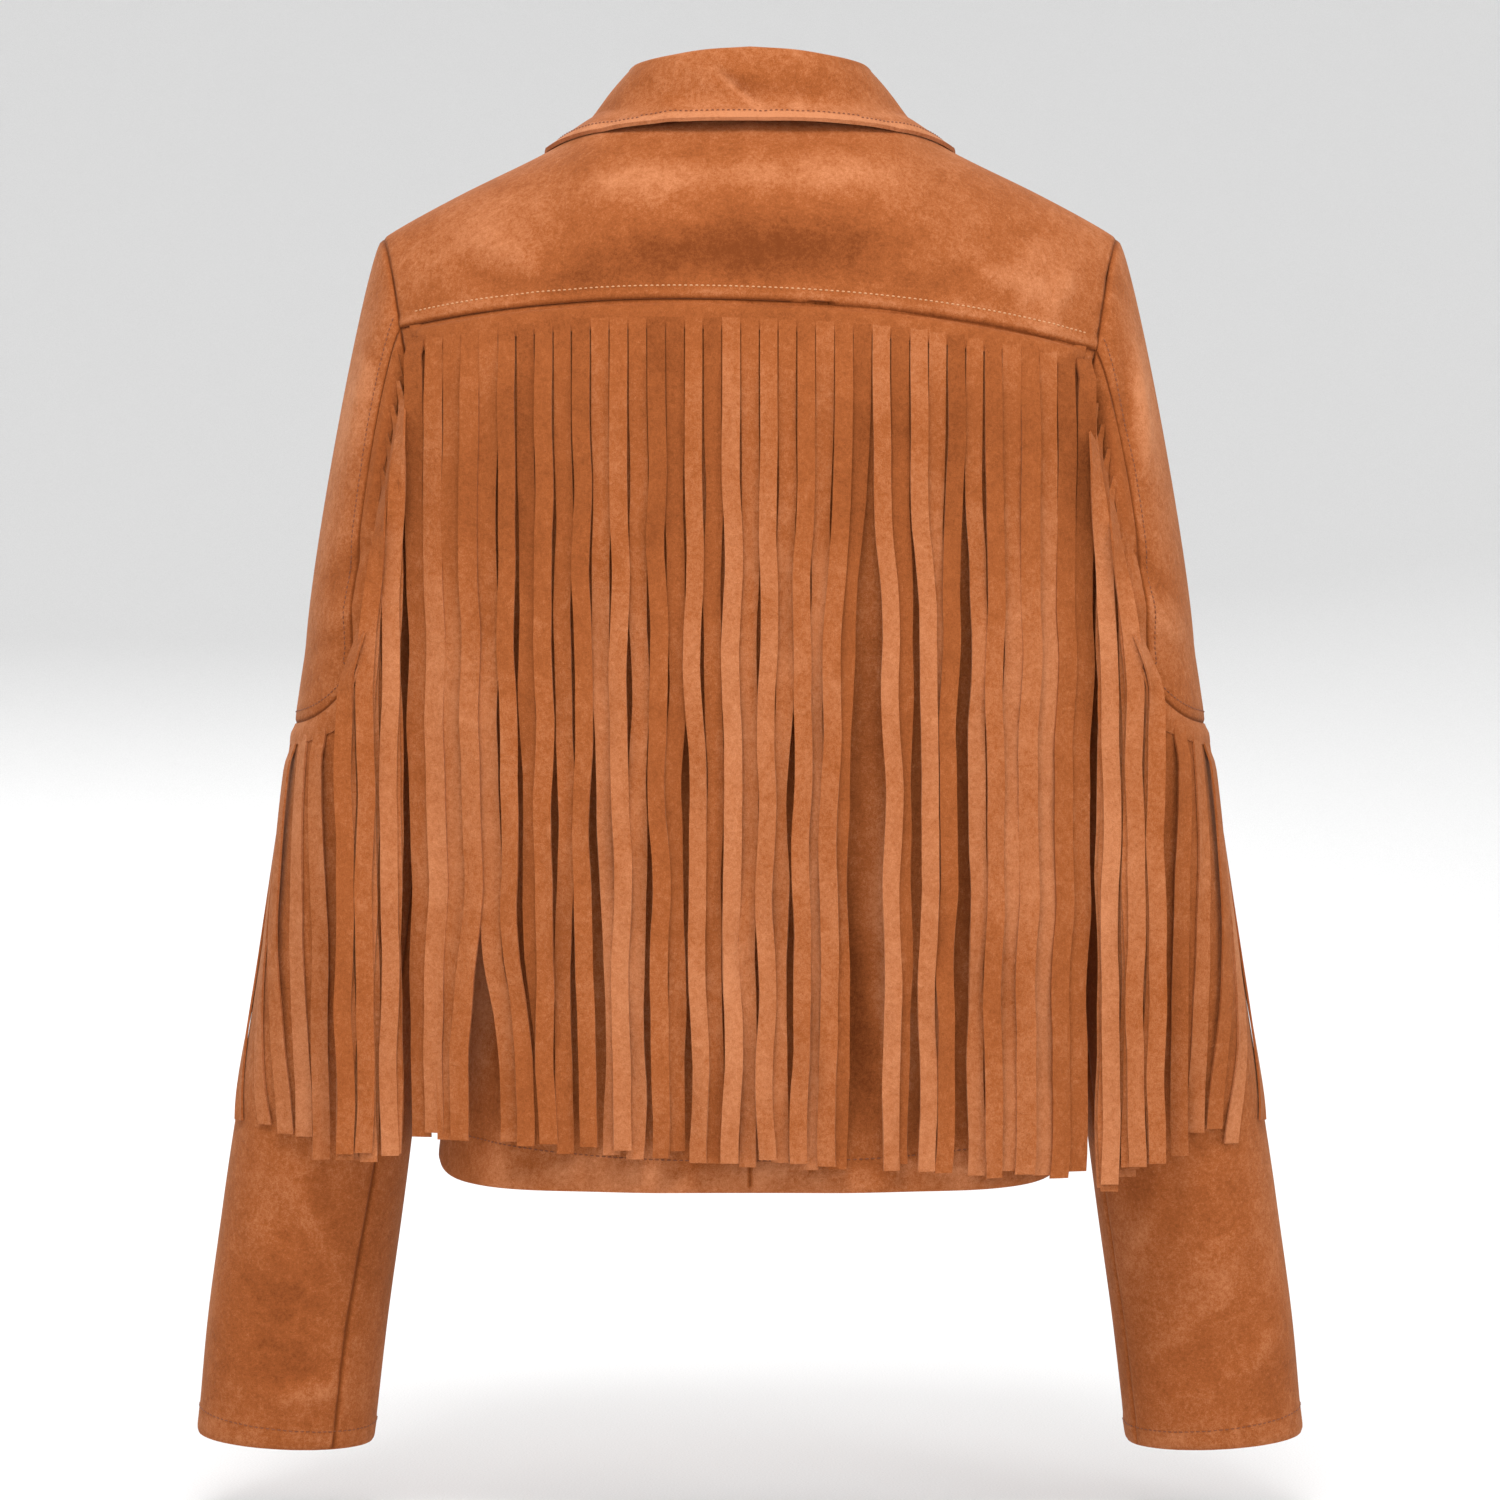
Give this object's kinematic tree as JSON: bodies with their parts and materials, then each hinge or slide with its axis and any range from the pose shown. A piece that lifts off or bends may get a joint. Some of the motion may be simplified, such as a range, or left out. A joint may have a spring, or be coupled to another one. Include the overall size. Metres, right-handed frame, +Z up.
{
  "type": "cropped fringed faux suede jacket",
  "caption": "Cropped tan faux suede jacket with a turned-down collar, an open front, and long fringe hanging from the back yoke seam and from the sleeves.",
  "frame": {"origin": "middle of the neck base, level with the back neck seam, where the wearer's neck and shoulders hold the jacket", "axes": "+Z up, +X to the wearer's left, +Y out of the wearer's back"},
  "size_m": [0.5796, 0.2304, 0.7205],
  "materials": {
    "suede": "matte brushed microsuede"
  },
  "bodies": {
    "root": {"back_yoke": "suede", "back_left": "suede", "back_right": "suede", "front_left": "suede", "front_right": "suede", "collar": "suede", "sleeve_cap_left": "suede", "sleeve_cap_right": "suede", "sleeve_lower_left": "suede", "sleeve_lower_right": "suede", "sleeve_under_left": "suede", "sleeve_under_right": "suede", "fringe_back": "suede", "fringe_sleeve_left": "suede", "fringe_sleeve_right": "suede"}
  },
  "joints": []
}
